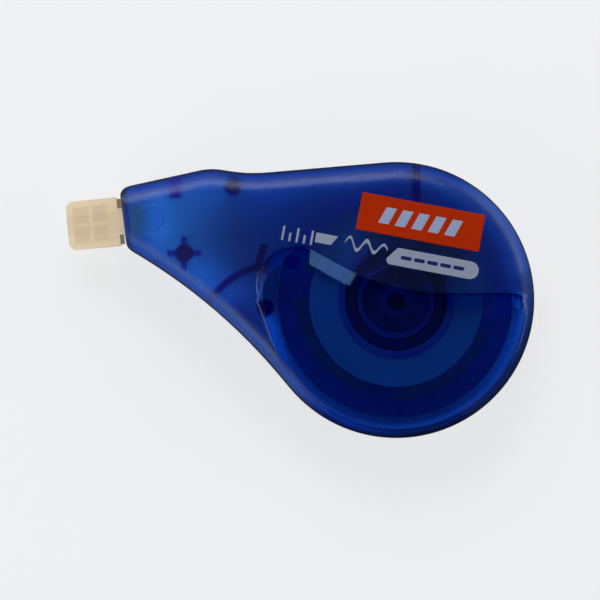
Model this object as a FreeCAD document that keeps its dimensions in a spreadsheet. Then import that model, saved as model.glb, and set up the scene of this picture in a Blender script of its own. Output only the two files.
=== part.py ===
import FreeCAD, Part
import math
import os
import Sketcher
from FreeCAD import Placement, Rotation, Vector

# A hand-held correction tape dispenser, lying on the back of its casing.
# The reel axis is +Z through the origin, and the back face is the plane z = 0.
# The applicator tip points along -X. All sizes are in millimetres and degrees.

DIMENSIONS = (
    # casing halves
    ("casing_depth", 17.0),
    ("parting_z", 8.5),
    ("wall", 1.2),
    ("seam_chamfer", 0.2),
    ("long_edge_radius", 4.6),
    ("nose_edge_radius", 1.2),
    ("cavity_edge_radius", 0.3),
    # casing outline: circles joined by tangent lines
    ("lobe_x", 0.0), ("lobe_y", 0.0), ("lobe_radius", 28.15),
    ("dip_x", -29.0), ("dip_y", 57.75), ("dip_radius", 31.85),
    ("hump_x", -37.5), ("hump_y", 14.55), ("hump_radius", 12.15),
    ("snout_x", -56.73), ("snout_y", 17.47), ("snout_radius", 5.15),
    ("belly_x", -110.78), ("belly_y", -88.12), ("belly_radius", 113.35),
    # front end of the nose, which cuts the outline short of its snout
    ("brow_x", -54.04), ("brow_y", 21.18), ("brow_radius", 2.0),
    ("chin_x", -53.25), ("chin_y", 11.55), ("chin_radius", 1.6),
    ("far_low_x", 60.0), ("far_low_y", -90.0), ("far_low_radius", 5.0),
    ("far_high_x", 60.0), ("far_high_y", 70.0), ("far_high_radius", 5.0),
    # recessed window over the reel: its edge on the face and its floor
    ("window_z", 15.8),
    ("face_lobe_x", 0.0), ("face_lobe_y", 0.0), ("face_lobe_radius", 27.0),
    ("face_corner_x", 23.05), ("face_corner_y", -2.6), ("face_corner_radius", 4.0),
    ("face_sweep_x", 10.0), ("face_sweep_y", 44.3), ("face_sweep_radius", 42.9),
    ("face_end_x", -20.5), ("face_end_y", 3.0), ("face_end_radius", 7.9),
    ("floor_lobe_x", 0.0), ("floor_lobe_y", 0.0), ("floor_lobe_radius", 26.8),
    ("floor_corner_x", 23.6), ("floor_corner_y", -4.6), ("floor_corner_radius", 3.0),
    ("floor_sweep_x", 10.0), ("floor_sweep_y", 44.3), ("floor_sweep_radius", 45.9),
    ("floor_end_x", -20.5), ("floor_end_y", 0.9), ("floor_end_radius", 6.9),
    # posts and ribs inside the casing
    ("axle_radius", 2.0), ("axle_top_z", 13.4), ("axle_tip_radius", 1.0), ("axle_tip_z", 14.0),
    ("thrust_radius", 4.5), ("thrust_z", 1.8),
    ("low_post_x", -43.1), ("low_post_y", 9.5), ("low_post_radius", 1.6),
    ("high_post_x", -33.3), ("high_post_y", 22.9), ("high_post_radius", 1.3),
    ("mid_post_x", -26.7), ("mid_post_y", -1.5), ("mid_post_radius", 1.3),
    ("stub_x", -21.3), ("stub_y", 7.7), ("stub_radius", 1.65), ("stub_z", 12.4),
    ("pin_radius", 0.8), ("pin_rise", 2.4), ("socket_wall", 0.9), ("pin_gap", 0.05),
    ("short_pin_rise", 1.5), ("socket_gap", 0.1), ("socket_lift", 0.3), ("core_wall", 0.2),
    ("high_post_z", 13.6),
    ("cross_length", 6.6), ("cross_thick", 1.1), ("cross_z", 12.6),
    ("rib_thick", 1.3), ("rib_z", 9.2),
    ("chamber_radius", 29.0), ("chamber_start", 157.0), ("chamber_sweep", 11.0),
    ("leg_x", -24.6), ("leg_y", -8.6), ("leg_radius", 15.7), ("leg_start", 104.0),
    ("leg_sweep", 44.0),
    ("pad_boss_x", -49.6), ("pad_boss_y", 16.4), ("pad_boss_radius", 2.4), ("pad_boss_rise", 0.25),
    ("brow_rib_x", -44.85), ("brow_rib_y", 22.6), ("brow_rib_length", 2.1),
    ("brow_rib_width", 3.9), ("brow_rib_z", 11.5),
    ("top_rib_x", 4.0), ("top_rib_y", 23.6), ("top_rib_length", 1.6), ("top_rib_width", 7.2),
    ("top_rib_z", 11.6),
    ("belly_rib_x", -30.5), ("belly_rib_y", -3.2), ("belly_rib_length", 7.2),
    ("belly_rib_width", 1.2), ("belly_rib_top_z", 9.6), ("belly_rib_angle", -40.0),
    ("tip_stop_along", -4.5), ("tip_stop_across", 3.9), ("tip_stop_length", 1.0),
    ("tip_stop_width", 1.7), ("tip_stop_top_z", 10.4),
    # latches between the halves: a tongue on a root against the lobe's wall
    ("latch_low_z", 4.0), ("latch_top_z", 11.2), ("latch_root_top_z", 8.2),
    ("latch_tongue_radius", 25.95), ("latch_root_radius", 26.6), ("latch_thick", 1.4),
    ("latch_width", 1.3),
    ("dimple_radius", 3.0), ("dimple_depth", 0.35),
    # supply spool, clutch ring and tape
    ("tape_inner_radius", 11.8), ("tape_outer_radius", 17.65), ("tape_width", 4.2),
    ("tape_z", 8.9),
    ("spool_inner_radius", 10.35), ("spool_z", 7.95), ("spool_top_z", 13.8),
    ("spool_lip", 0.25),
    ("clutch_inner_radius", 7.95), ("clutch_z", 8.3), ("clutch_top_z", 13.0),
    ("clutch_edge", 0.4),
    # take-up reel
    ("sleeve_outer_radius", 7.9), ("sleeve_inner_radius", 6.9), ("sleeve_top_z", 13.4),
    ("disc_radius", 24.1), ("disc_z", 7.0), ("disc_top_z", 7.8),
    ("drum_radius", 17.4), ("drum_wall", 1.1), ("drum_z", 2.1),
    ("hub_radius", 3.3), ("hub_bore_radius", 2.05), ("hub_z", 1.85), ("hub_top_z", 12.6),
    ("slot_inner_radius", 17.6), ("slot_outer_radius", 20.5), ("slot_centre_angle", 35.0),
    ("slot_half_angle", 33.0), ("slot_count", 4.0),
    ("used_outer_radius", 17.9), ("used_z", 2.4),
    # applicator tip, measured from the casing's front face along its own axis
    ("tip_x", -55.8), ("tip_y", 16.15), ("tip_angle", 185.5), ("tip_z", 8.5),
    ("head_start", 1.0), ("head_length", 11.5), ("head_width", 9.95), ("head_corner", 1.0),
    ("head_rear_thick", 4.6), ("head_front_thick", 1.5),
    ("recess_width", 7.7), ("recess_start", 3.0), ("bar_start", 10.3), ("web_thick", 0.9),
    ("bar_thick", 1.4),
    ("pocket_depth", 0.22), ("pocket_rib", 0.7), ("pocket_row", 6.6),
    ("neck_width", 5.4), ("channel_width", 4.6),
    ("shoulder_start", 0.15), ("shoulder_width", 9.3), ("shoulder_thick", 1.0),
    ("flange_start", -1.85), ("flange_end", -3.6), ("flange_width", 7.6), ("flange_thick", 3.4),
    ("tail_end", -5.3), ("tail_width", 4.6), ("tail_thick", 2.4),
    ("wedge_start", 2.2), ("waffle_edge", 0.35), ("waffle_front_gap", 0.2),
    ("waffle_rear_gap", 0.3),
    ("port_width", 5.7), ("port_height", 5.0), ("port_length", 4.0),
    # tape runs between the reels and the tip
    ("run_thick", 0.12), ("run_gap", 0.03),
    # label on the front face
    ("label_x", 4.8), ("label_y", 15.8), ("label_angle", -10.6),
    ("label_length", 25.3), ("label_height", 7.6), ("label_thick", 0.08),
    ("label_reach", 2.0),
    # how far cutting shapes run past their solids, and how far neighbouring cuts overlap
    ("overcut", 1.0), ("overlap", 0.01),
)

OUTLINE = (("lobe", 1), ("dip", -1), ("hump", 1), ("snout", 1), ("belly", -1))
NOSE_END = (("brow", 1), ("chin", 1), ("far_low", 1), ("far_high", 1))
WINDOW_EDGE = (("face_lobe", 1), ("face_corner", 1), ("face_sweep", -1), ("face_end", 1))
WINDOW_FLOOR = (("floor_lobe", 1), ("floor_corner", 1), ("floor_sweep", -1), ("floor_end", 1))
POSTS = ("low_post", "high_post", "mid_post")
LATCH_ANGLES = (("right", 6.9), ("top", 81.5))
SMALL = 1e-6
LEAST_CUT = 0.01  # volume that a pocket has to take away

# tape runs: how strongly each twist keeps its direction at its two ends, and steps in it
SUPPLY_REACH = (7.0, 2.0)
RETURN_REACH = (1.6, 3.6)
TWIST_STEPS = 12
POST_STEPS = 6
EDGE_STEPS = 5
RETURN_LEAD_ANGLE = 24.0
RUN_LEAD = 0.8

doc = FreeCAD.newDocument("correction_tape")
sheet = doc.addObject("Spreadsheet::Sheet", "dims")
for row, (alias, value) in enumerate(DIMENSIONS, start=1):
    sheet.set(f"A{row}", alias)
    sheet.set(f"B{row}", str(value))
    sheet.setAlias(f"B{row}", alias)
doc.recompute()


def dim(alias):
    """Value of one driving dimension."""
    return float(sheet.get(alias))


def polar(radius, angle, height=0.0):
    """Point at a radius and an angle in degrees about the reel axis."""
    turn = math.radians(angle)
    return Vector(radius * math.cos(turn), radius * math.sin(turn), height)


# ---------------------------------------------------------------- sketches


def add_datum(sketch, kind, parts, expression):
    """Constrain part of a sketch to an expression of the sheet."""
    value = float(sketch.evalExpression(expression))
    index = sketch.addConstraint(Sketcher.Constraint(kind, *parts, value))
    sketch.setExpression(f"Constraints[{index}]", expression)


def tangent_line(first, second):
    """Line touching two signed circles (x, y, radius), left of the way round."""
    dx = second[0] - first[0]
    dy = second[1] - first[1]
    slant = math.asin((second[2] - first[2]) / math.hypot(dx, dy))
    way = math.atan2(dy, dx) - slant
    normal = Vector(-math.sin(way), math.cos(way), 0)
    start = Vector(first[0], first[1], 0) - normal * first[2]
    end = Vector(second[0], second[1], 0) - normal * second[2]
    return start, end


def belt_sketch(sketch, circles, grow="0"):
    """Closed outline of arcs and tangent lines round circles named in the sheet."""
    rings = []
    for name, side in circles:
        radius = f"dims.{name}_radius {'+' if side > 0 else '-'} ({grow})"
        size = float(sketch.evalExpression(radius))
        rings.append((dim(f"{name}_x"), dim(f"{name}_y"), side * size, name, radius))
    count = len(rings)
    lines = [tangent_line(rings[i], rings[(i + 1) % count]) for i in range(count)]
    arc_ids = []
    for i, (x, y, signed, _, _) in enumerate(rings):
        arrive = lines[i - 1][1]
        leave = lines[i][0]
        if signed < 0:
            arrive, leave = leave, arrive
        start = math.atan2(arrive.y - y, arrive.x - x)
        end = math.atan2(leave.y - y, leave.x - x)
        if end < start:
            end += 2 * math.pi
        circle = Part.Circle(Vector(x, y, 0), Vector(0, 0, 1), abs(signed))
        arc_ids.append(sketch.addGeometry(Part.ArcOfCircle(circle, start, end)))
    line_ids = [sketch.addGeometry(Part.LineSegment(a, b)) for a, b in lines]
    for i in range(count):
        after = (i + 1) % count
        leave_end = 2 if rings[i][2] > 0 else 1
        arrive_end = 1 if rings[after][2] > 0 else 2
        sketch.addConstraint(Sketcher.Constraint("Tangent", arc_ids[i], leave_end, line_ids[i], 1))
        sketch.addConstraint(
            Sketcher.Constraint("Tangent", line_ids[i], 2, arc_ids[after], arrive_end))
    for arc, (_, _, _, name, radius) in zip(arc_ids, rings):
        add_datum(sketch, "DistanceX", (-1, 1, arc, 3), f"dims.{name}_x")
        add_datum(sketch, "DistanceY", (-1, 1, arc, 3), f"dims.{name}_y")
        add_datum(sketch, "Radius", (arc,), radius)


def corner_sketch(sketch, corners):
    """Closed polygon whose corners are pairs of expressions."""
    points = [Vector(float(sketch.evalExpression(x)), float(sketch.evalExpression(y)), 0)
              for x, y in corners]
    count = len(points)
    for i in range(count):
        sketch.addGeometry(Part.LineSegment(points[i], points[(i + 1) % count]))
    for i in range(count):
        sketch.addConstraint(Sketcher.Constraint("Coincident", i, 2, (i + 1) % count, 1))
    for i, (x, y) in enumerate(corners):
        add_datum(sketch, "DistanceX", (-1, 1, i, 1), x)
        add_datum(sketch, "DistanceY", (-1, 1, i, 1), y)


def rectangle(x_low, x_high, y_low, y_high):
    """Corners of an upright rectangle, for corner_sketch."""
    return ((x_low, y_low), (x_high, y_low), (x_high, y_high), (x_low, y_high))


def free_sketch(name, height):
    """Sketch parallel to XY at a height given by an expression."""
    sketch = doc.addObject("Sketcher::SketchObject", name)
    sketch.setExpression("Placement.Base.z", height)
    return sketch


def body_sketch(body, name, plane, height="0"):
    """Sketch on one of a body's origin planes, lifted along the plane's normal."""
    support = next(f for f in body.Origin.OriginFeatures if f.Role == plane)
    sketch = body.newObject("Sketcher::SketchObject", name)
    sketch.AttachmentSupport = [(support, "")]
    sketch.MapMode = "FlatFace"
    sketch.setExpression("AttachmentOffset.Base.z", height)
    return sketch


# ---------------------------------------------------------------- solids


def extrude(name, sketch, length):
    """Solid pulled up from a sketch by an expression's length."""
    solid = doc.addObject("Part::Extrusion", name)
    solid.Base = sketch
    solid.DirMode = "Custom"
    solid.Dir = Vector(0, 0, 1)
    solid.Solid = True
    solid.setExpression("LengthFwd", length)
    return solid


def cylinder(name, radius, low, high, x="0", y="0"):
    """Upright cylinder between two heights; every size is an expression."""
    solid = doc.addObject("Part::Cylinder", name)
    solid.setExpression("Radius", radius)
    solid.setExpression("Height", f"({high}) - ({low})")
    solid.setExpression("Placement.Base.x", x)
    solid.setExpression("Placement.Base.y", y)
    solid.setExpression("Placement.Base.z", low)
    return solid


def arc_wall(name, prefix, centre_x, centre_y, low, high):
    """Curved upright rib of rib_thick, from its start angle through its sweep."""
    solids = []
    for part, sign in (("outer", "+"), ("inner", "-")):
        radius = f"dims.{prefix}_radius {sign} dims.rib_thick / 2"
        solid = cylinder(f"{name}_{part}", radius, low, high, centre_x, centre_y)
        solid.setExpression("Angle", f"dims.{prefix}_sweep")
        solid.setExpression("Placement.Rotation.Angle", f"dims.{prefix}_start")
        solids.append(solid)
    return cut(name, solids[0], solids[1])


def block(name, size, centre, low, high, angle=0.0):
    """Upright block: plan size, plan centre, two heights and a turn in degrees."""
    solid = doc.addObject("Part::Box", name)
    solid.setExpression("Length", size[0])
    solid.setExpression("Width", size[1])
    solid.setExpression("Height", f"({high}) - ({low})")
    doc.recompute()
    turn = Rotation(Vector(0, 0, 1), angle)
    shift = turn.multVec(Vector(-solid.Length.Value / 2, -solid.Width.Value / 2, 0))
    base = float(solid.evalExpression(low))
    solid.Placement = Placement(Vector(centre[0], centre[1], base) + shift, turn)
    return solid


def rib(name, low, high, angle=0.0):
    """Block whose plan size and centre are the sheet's cells of the same name."""
    size = (f"dims.{name}_length", f"dims.{name}_width")
    return block(name, size, (dim(f"{name}_x"), dim(f"{name}_y")), low, high, angle)


def cut(name, base, tool):
    """Base less tool."""
    solid = doc.addObject("Part::Cut", name)
    solid.Base = base
    solid.Tool = tool
    return solid


def common(name, base, tool):
    """What base and tool share."""
    solid = doc.addObject("Part::Common", name)
    solid.Base = base
    solid.Tool = tool
    return solid


def fuse(name, solids):
    """All the solids joined."""
    solid = doc.addObject("Part::MultiFuse", name)
    solid.Shapes = solids
    solid.Refine = True
    return solid


def tip_point(along, across=0.0, height=0.0):
    """Point in the casing's frame from a place in the tip's own frame."""
    turn = math.radians(dim("tip_angle"))
    x = dim("tip_x") + along * math.cos(turn) - across * math.sin(turn)
    y = dim("tip_y") + along * math.sin(turn) + across * math.cos(turn)
    return Vector(x, y, dim("tip_z") + height)


# ---------------------------------------------------------------- casing


def rounded(name, base, height, radius):
    """Base with the edges at one height rounded."""
    doc.recompute()
    fillet = doc.addObject("Part::Fillet", name)
    fillet.Base = base
    edges = []
    for number, edge in enumerate(base.Shape.Edges, start=1):
        if all(abs(v.Point.z - height) < SMALL for v in edge.Vertexes):
            edges.append((number, radius, radius))
    fillet.Edges = edges
    return fillet


def seam_chamfered(name, base):
    """Base with a small chamfer along the outside of the parting line."""
    doc.recompute()
    chamfer = doc.addObject("Part::Chamfer", name)
    chamfer.Base = base
    size = dim("seam_chamfer")
    edges = []
    for number, edge in enumerate(base.Shape.Edges, start=1):
        if all(abs(v.Point.z - dim("parting_z")) < SMALL for v in edge.Vertexes):
            edges.append((number, size, size))
    chamfer.Edges = edges
    return chamfer


def casing_solid(name, low, high, face, inset):
    """Half of the casing's form, rounded on its outer face and less an inset."""
    small = dim("cavity_edge_radius") if inset else dim("nose_edge_radius")
    forms = (("long", OUTLINE, dim("long_edge_radius") - inset), ("end", NOSE_END, small))
    solids = []
    for form, circles, radius in forms:
        sketch = free_sketch(f"{name}_{form}_outline", low)
        belt_sketch(sketch, circles, "-dims.wall" if inset else "0")
        solid = extrude(f"{name}_{form}_block", sketch, f"({high}) - ({low})")
        solids.append(rounded(f"{name}_{form}_rounded", solid, face, radius))
    return common(name, solids[0], solids[1])


def nose_port(side):
    """Opening in the casing's front wall that the tip's neck passes through."""
    centre = tip_point(0.0)
    low = "dims.tip_z - dims.port_height / 2"
    high = "dims.tip_z + dims.port_height / 2"
    size = ("dims.port_length", "dims.port_width")
    return block(f"{side}_port", size, centre, low, high, dim("tip_angle"))


def post_levels(post):
    """Heights, as expressions, of a post's shoulder and of its pin above that."""
    if post == "high_post":
        return "dims.high_post_z", "dims.short_pin_rise"
    return "dims.parting_z", "dims.pin_rise"


def make_front_shell():
    """Front casing half: recessed window, ribs, sockets and the cross-ribbed boss."""
    top = "dims.casing_depth"
    ceiling = "dims.casing_depth - dims.wall"
    into = "dims.casing_depth - dims.wall / 2"
    outer = casing_solid("front_outer", "dims.parting_z", top, dim("casing_depth"), 0.0)
    outer = seam_chamfered("front_seam", outer)
    face = dim("casing_depth") - dim("wall")
    cavity = casing_solid("front_cavity", "dims.parting_z", ceiling, face, dim("wall"))
    hollow = cut("front_hollow", outer, cavity)

    pane_sketch = free_sketch("pane_outline", "dims.window_z - dims.wall")
    belt_sketch(pane_sketch, WINDOW_EDGE)
    pane = extrude("pane_block", pane_sketch, "dims.wall + dims.overcut")
    pane = common("pane", pane, outer)

    boss = "dims.low_post"
    socket = "dims.pin_radius + dims.pin_gap + dims.socket_wall"
    socket_low = "dims.parting_z + dims.socket_lift"
    ribs = [
        cylinder("cross_core", "dims.low_post_radius + dims.core_wall", socket_low, into,
                 f"{boss}_x", f"{boss}_y"),
        cylinder("high_socket", socket, "dims.high_post_z + dims.socket_gap", into,
                 "dims.high_post_x", "dims.high_post_y"),
        cylinder("mid_socket", socket, socket_low, into, "dims.mid_post_x", "dims.mid_post_y"),
        cylinder("stub", "dims.stub_radius", "dims.stub_z", into, "dims.stub_x", "dims.stub_y"),
        cylinder("pad_boss", "dims.pad_boss_radius", f"{ceiling} - dims.pad_boss_rise", into,
                 "dims.pad_boss_x", "dims.pad_boss_y"),
        arc_wall("chamber_wall", "chamber", "0", "0", "dims.rib_z", into),
        arc_wall("chamber_leg", "leg", "dims.leg_x", "dims.leg_y", "dims.rib_z", into),
        rib("brow_rib", "dims.brow_rib_z", into),
        rib("top_rib", "dims.top_rib_z", into),
    ]
    spot = (dim("low_post_x"), dim("low_post_y"))
    for turn in (0.0, 90.0):
        ribs.append(block(f"cross_arm_{int(turn)}", ("dims.cross_length", "dims.cross_thick"),
                          spot, "dims.cross_z", into, turn))
    inside = common("front_ribs", fuse("front_rib_blanks", ribs), outer)
    solid = fuse("front_ribbed", [hollow, pane, inside])

    edge_sketch = free_sketch("window_edge", "dims.casing_depth")
    belt_sketch(edge_sketch, WINDOW_EDGE)
    floor_sketch = free_sketch("window_floor", "dims.window_z")
    belt_sketch(floor_sketch, WINDOW_FLOOR)
    recess = doc.addObject("Part::Loft", "window_recess")
    recess.Sections = [floor_sketch, edge_sketch]
    recess.Solid = True
    recess.Ruled = True

    bores = []
    for post in POSTS:
        low, rise = post_levels(post)
        bores.append(cylinder(f"{post}_socket_bore", "dims.pin_radius + dims.pin_gap", low,
                              f"{low} + {rise} + dims.socket_gap", f"dims.{post}_x",
                              f"dims.{post}_y"))
    tools = fuse("front_cutters", [recess, nose_port("front")] + bores)
    return cut("front_shell", solid, tools)


def make_rear_shell():
    """Rear casing half: axle, tape posts with joining pins, latch tongues and ribs."""
    floor = "dims.wall"
    under = "dims.wall / 2"
    outer = casing_solid("rear_outer", "0", "dims.parting_z", 0.0, 0.0)
    outer = seam_chamfered("rear_seam", outer)
    cavity = casing_solid("rear_cavity", floor, "dims.parting_z", dim("wall"), dim("wall"))
    hollow = cut("rear_hollow", outer, cavity)

    ribs = [
        cylinder("axle", "dims.axle_radius", under, "dims.axle_top_z"),
        cylinder("axle_tip", "dims.axle_tip_radius", under, "dims.axle_tip_z"),
        cylinder("thrust_ring", "dims.thrust_radius", under, "dims.thrust_z"),
    ]
    for post in POSTS:
        x = f"dims.{post}_x"
        y = f"dims.{post}_y"
        high, rise = post_levels(post)
        ribs.append(cylinder(post, f"dims.{post}_radius", under, high, x, y))
        ribs.append(cylinder(f"{post}_pin", "dims.pin_radius", under, f"{high} + {rise}", x, y))
    ribs.append(rib("belly_rib", under, "dims.belly_rib_top_z", dim("belly_rib_angle")))
    for name, side in (("right", -1), ("left", 1)):
        spot = tip_point(dim("tip_stop_along"), side * dim("tip_stop_across"))
        ribs.append(block(f"{name}_tip_stop", ("dims.tip_stop_length", "dims.tip_stop_width"),
                          spot, under, "dims.tip_stop_top_z", dim("tip_angle")))
    size = ("dims.latch_thick", "dims.latch_width")
    for name, angle in LATCH_ANGLES:
        for part, top in (("tongue", "dims.latch_top_z"), ("root", "dims.latch_root_top_z")):
            spot = polar(dim(f"latch_{part}_radius"), angle)
            ribs.append(block(f"{name}_{part}", size, spot, "dims.latch_low_z", top, angle))
    solid = fuse("rear_ribbed", [hollow] + ribs)

    dimple = cylinder("gate_dimple", "dims.dimple_radius", "-dims.wall", "dims.dimple_depth")
    tools = fuse("rear_cutters", [nose_port("rear"), dimple])
    return cut("rear_shell", solid, tools)


# ---------------------------------------------------------------- reels


def revolved_body(name, corners):
    """Body turned about the reel axis from corners (radius, height)."""
    body = doc.addObject("PartDesign::Body", name)
    sketch = body_sketch(body, f"{name}_profile", "XZ_Plane")
    corner_sketch(sketch, corners)
    turned = body.newObject("PartDesign::Revolution", f"{name}_turned")
    turned.Profile = sketch
    turned.ReferenceAxis = (sketch, ["V_Axis"])
    turned.Angle = 360
    doc.recompute()
    return body


def make_supply_spool():
    """Ring that carries the unused tape, with a small lip at each end."""
    inner = "dims.spool_inner_radius"
    outer = "dims.tape_inner_radius"
    lip = "dims.spool_lip"
    return revolved_body("supply_spool", (
        (f"{inner} + {lip}", "dims.spool_z"), (outer, "dims.spool_z"),
        (outer, f"dims.spool_top_z - {lip}"), (f"{outer} - {lip}", "dims.spool_top_z"),
        (f"{inner} + {lip}", "dims.spool_top_z"), (inner, f"dims.spool_top_z - {lip}"),
        (inner, f"dims.spool_z + {lip}")))


def make_clutch_ring():
    """Rubber ring that grips the spool and slips on the take-up sleeve."""
    inner = "dims.clutch_inner_radius"
    outer = "dims.spool_inner_radius"
    low = "dims.clutch_z"
    high = "dims.clutch_top_z"
    edge = "dims.clutch_edge"
    return revolved_body("clutch_ring", (
        (f"{inner} + {edge}", low), (f"{outer} - {edge}", low), (outer, f"{low} + {edge}"),
        (outer, f"{high} - {edge}"), (f"{outer} - {edge}", high), (f"{inner} + {edge}", high),
        (inner, f"{high} - {edge}"), (inner, f"{low} + {edge}")))


def make_take_up_reel():
    """Rear reel: drum for the used film, slotted disc, clutch sleeve and hub."""
    hub = "dims.hub_radius"
    sleeve_in = "dims.sleeve_inner_radius"
    sleeve_out = "dims.sleeve_outer_radius"
    drum_in = "dims.drum_radius - dims.drum_wall"
    body = revolved_body("take_up_reel", (
        ("dims.hub_bore_radius", "dims.hub_z"), (hub, "dims.hub_z"), (hub, "dims.disc_z"),
        (drum_in, "dims.disc_z"), (drum_in, "dims.drum_z"), ("dims.drum_radius", "dims.drum_z"),
        ("dims.drum_radius", "dims.disc_z"), ("dims.disc_radius", "dims.disc_z"),
        ("dims.disc_radius", "dims.disc_top_z"), (sleeve_out, "dims.disc_top_z"),
        (sleeve_out, "dims.sleeve_top_z"), (sleeve_in, "dims.sleeve_top_z"),
        (sleeve_in, "dims.disc_top_z"), (hub, "dims.disc_top_z"), (hub, "dims.hub_top_z"),
        ("dims.hub_bore_radius", "dims.hub_top_z")))
    sketch = body_sketch(body, "slot_outline", "XY_Plane", "dims.disc_top_z")
    slot_sketch(sketch)
    before = body.Shape.Volume
    slot = body.newObject("PartDesign::Pocket", "slot")
    slot.Profile = sketch
    slot.Type = 0
    slot.setExpression("Length", "dims.disc_top_z - dims.disc_z + dims.overcut")
    doc.recompute()
    if body.Shape.Volume > before - LEAST_CUT:
        raise ValueError("the slot cut nothing")
    slots = body.newObject("PartDesign::PolarPattern", "slots")
    slots.Originals = [slot]
    slots.Axis = (sketch, ["N_Axis"])
    slots.Angle = 360
    slots.setExpression("Occurrences", "dims.slot_count")
    body.Tip = slots
    doc.recompute()
    return body


def slot_sketch(sketch):
    """Curved slot with round ends, concentric with the reel."""
    inner = dim("slot_inner_radius")
    outer = dim("slot_outer_radius")
    end_radius = (outer - inner) / 2
    first = dim("slot_centre_angle") - dim("slot_half_angle")
    last = dim("slot_centre_angle") + dim("slot_half_angle")
    up = Vector(0, 0, 1)
    span = (math.radians(first), math.radians(last))
    sketch.addGeometry(Part.ArcOfCircle(Part.Circle(Vector(), up, outer), *span))
    sketch.addGeometry(Part.ArcOfCircle(Part.Circle(Vector(), up, inner), *span))
    middle = (inner + outer) / 2
    caps = ((polar(middle, last), last, last + 180), (polar(middle, first), first - 180, first))
    for centre, start, end in caps:
        circle = Part.Circle(centre, up, end_radius)
        sketch.addGeometry(Part.ArcOfCircle(circle, math.radians(start), math.radians(end)))
    for a, a_end, b, b_end in ((0, 2, 2, 1), (2, 2, 1, 2), (1, 1, 3, 1), (3, 2, 0, 1)):
        sketch.addConstraint(Sketcher.Constraint("Tangent", a, a_end, b, b_end))
    for arc in (0, 1):
        sketch.addConstraint(Sketcher.Constraint("Coincident", arc, 3, -1, 1))
    add_datum(sketch, "Radius", (0,), "dims.slot_outer_radius")
    add_datum(sketch, "Radius", (1,), "dims.slot_inner_radius")
    half = "(dims.slot_inner_radius + dims.slot_outer_radius) / 2"
    for arc, sign in ((2, "+"), (3, "-")):
        angle = f"dims.slot_centre_angle {sign} dims.slot_half_angle"
        add_datum(sketch, "DistanceX", (-1, 1, arc, 3), f"{half} * cos({angle})")


def make_wound(name, inner, outer, low, high):
    """Roll of wound tape: a ring between two radii."""
    return cut(name, cylinder(f"{name}_outer", outer, low, high),
               cylinder(f"{name}_bore", inner, low, high))


# ---------------------------------------------------------------- applicator tip


def pad(body, name, sketch, length):
    """Pad both ways from its sketch."""
    solid = body.newObject("PartDesign::Pad", name)
    solid.Profile = sketch
    solid.setExpression("Length", length)
    solid.Midplane = True
    doc.recompute()
    return solid


def pocket_both_faces(body, name, corners, floor):
    """Same pocket cut into the tip's upper and lower faces, down to a height."""
    for face, sign in (("upper", ""), ("lower", "-")):
        sketch = body_sketch(body, f"{name}_{face}_outline", "XY_Plane", f"{sign}({floor})")
        corner_sketch(sketch, corners)
        before = body.Shape.Volume
        pocket = body.newObject("PartDesign::Pocket", f"{name}_{face}")
        pocket.Profile = sketch
        pocket.Type = 0
        pocket.setExpression("Length", "dims.head_rear_thick")
        pocket.Reversed = face == "upper"
        doc.recompute()
        if body.Shape.Volume > before - LEAST_CUT:
            raise ValueError(f"{name}_{face} cut nothing")


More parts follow.
